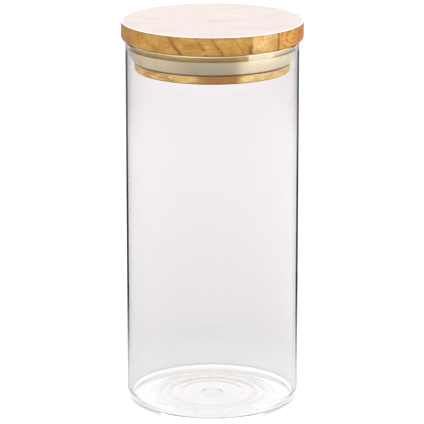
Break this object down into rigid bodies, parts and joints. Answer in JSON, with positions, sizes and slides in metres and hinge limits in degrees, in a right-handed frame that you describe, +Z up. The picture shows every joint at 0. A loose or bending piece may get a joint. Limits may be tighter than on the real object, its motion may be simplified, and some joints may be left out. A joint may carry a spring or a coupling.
{
  "type": "lidded glass canister",
  "caption": "Tall straight-sided glass storage canister with a push-in wooden lid, whose plug carries a flexible ring that seals against the glass. Keeps dry food.",
  "frame": {"origin": "centre of the jar's foot, on the surface it stands on", "axes": "+Z up along the jar's axis, towards the lid; the object is round about Z, so +X and +Y are equal"},
  "size_m": [0.105, 0.105, 0.226],
  "materials": {
    "clear_glass": "clear blown borosilicate, smooth and thin-walled, greyer where it is seen edge on",
    "lid_wood": "honey-brown solid wood under a thin satin lacquer, curly grain round the edge, paler on top",
    "plug_wood": "satin solid wood with long straight grain",
    "seal_silicone": "translucent matt silicone, greyish beige where the wood shows through"
  },
  "bodies": {
    "jar": {"glass_jar": "clear_glass"},
    "seal": {"silicone_seal": "seal_silicone"},
    "lid": {"lid_disc": "lid_wood", "lid_plug": "plug_wood"}
  },
  "joints": [
    {"name": "lid_lift", "type": "slide", "parent": "jar", "child": "seal", "axis": [0, 0, 1], "range_m": [0, 0.1]},
    {"name": "lid_turn", "type": "hinge", "parent": "seal", "child": "lid", "pos_m": [0, 0, 0.2], "axis": [0, 0, 1], "continuous": true}
  ]
}
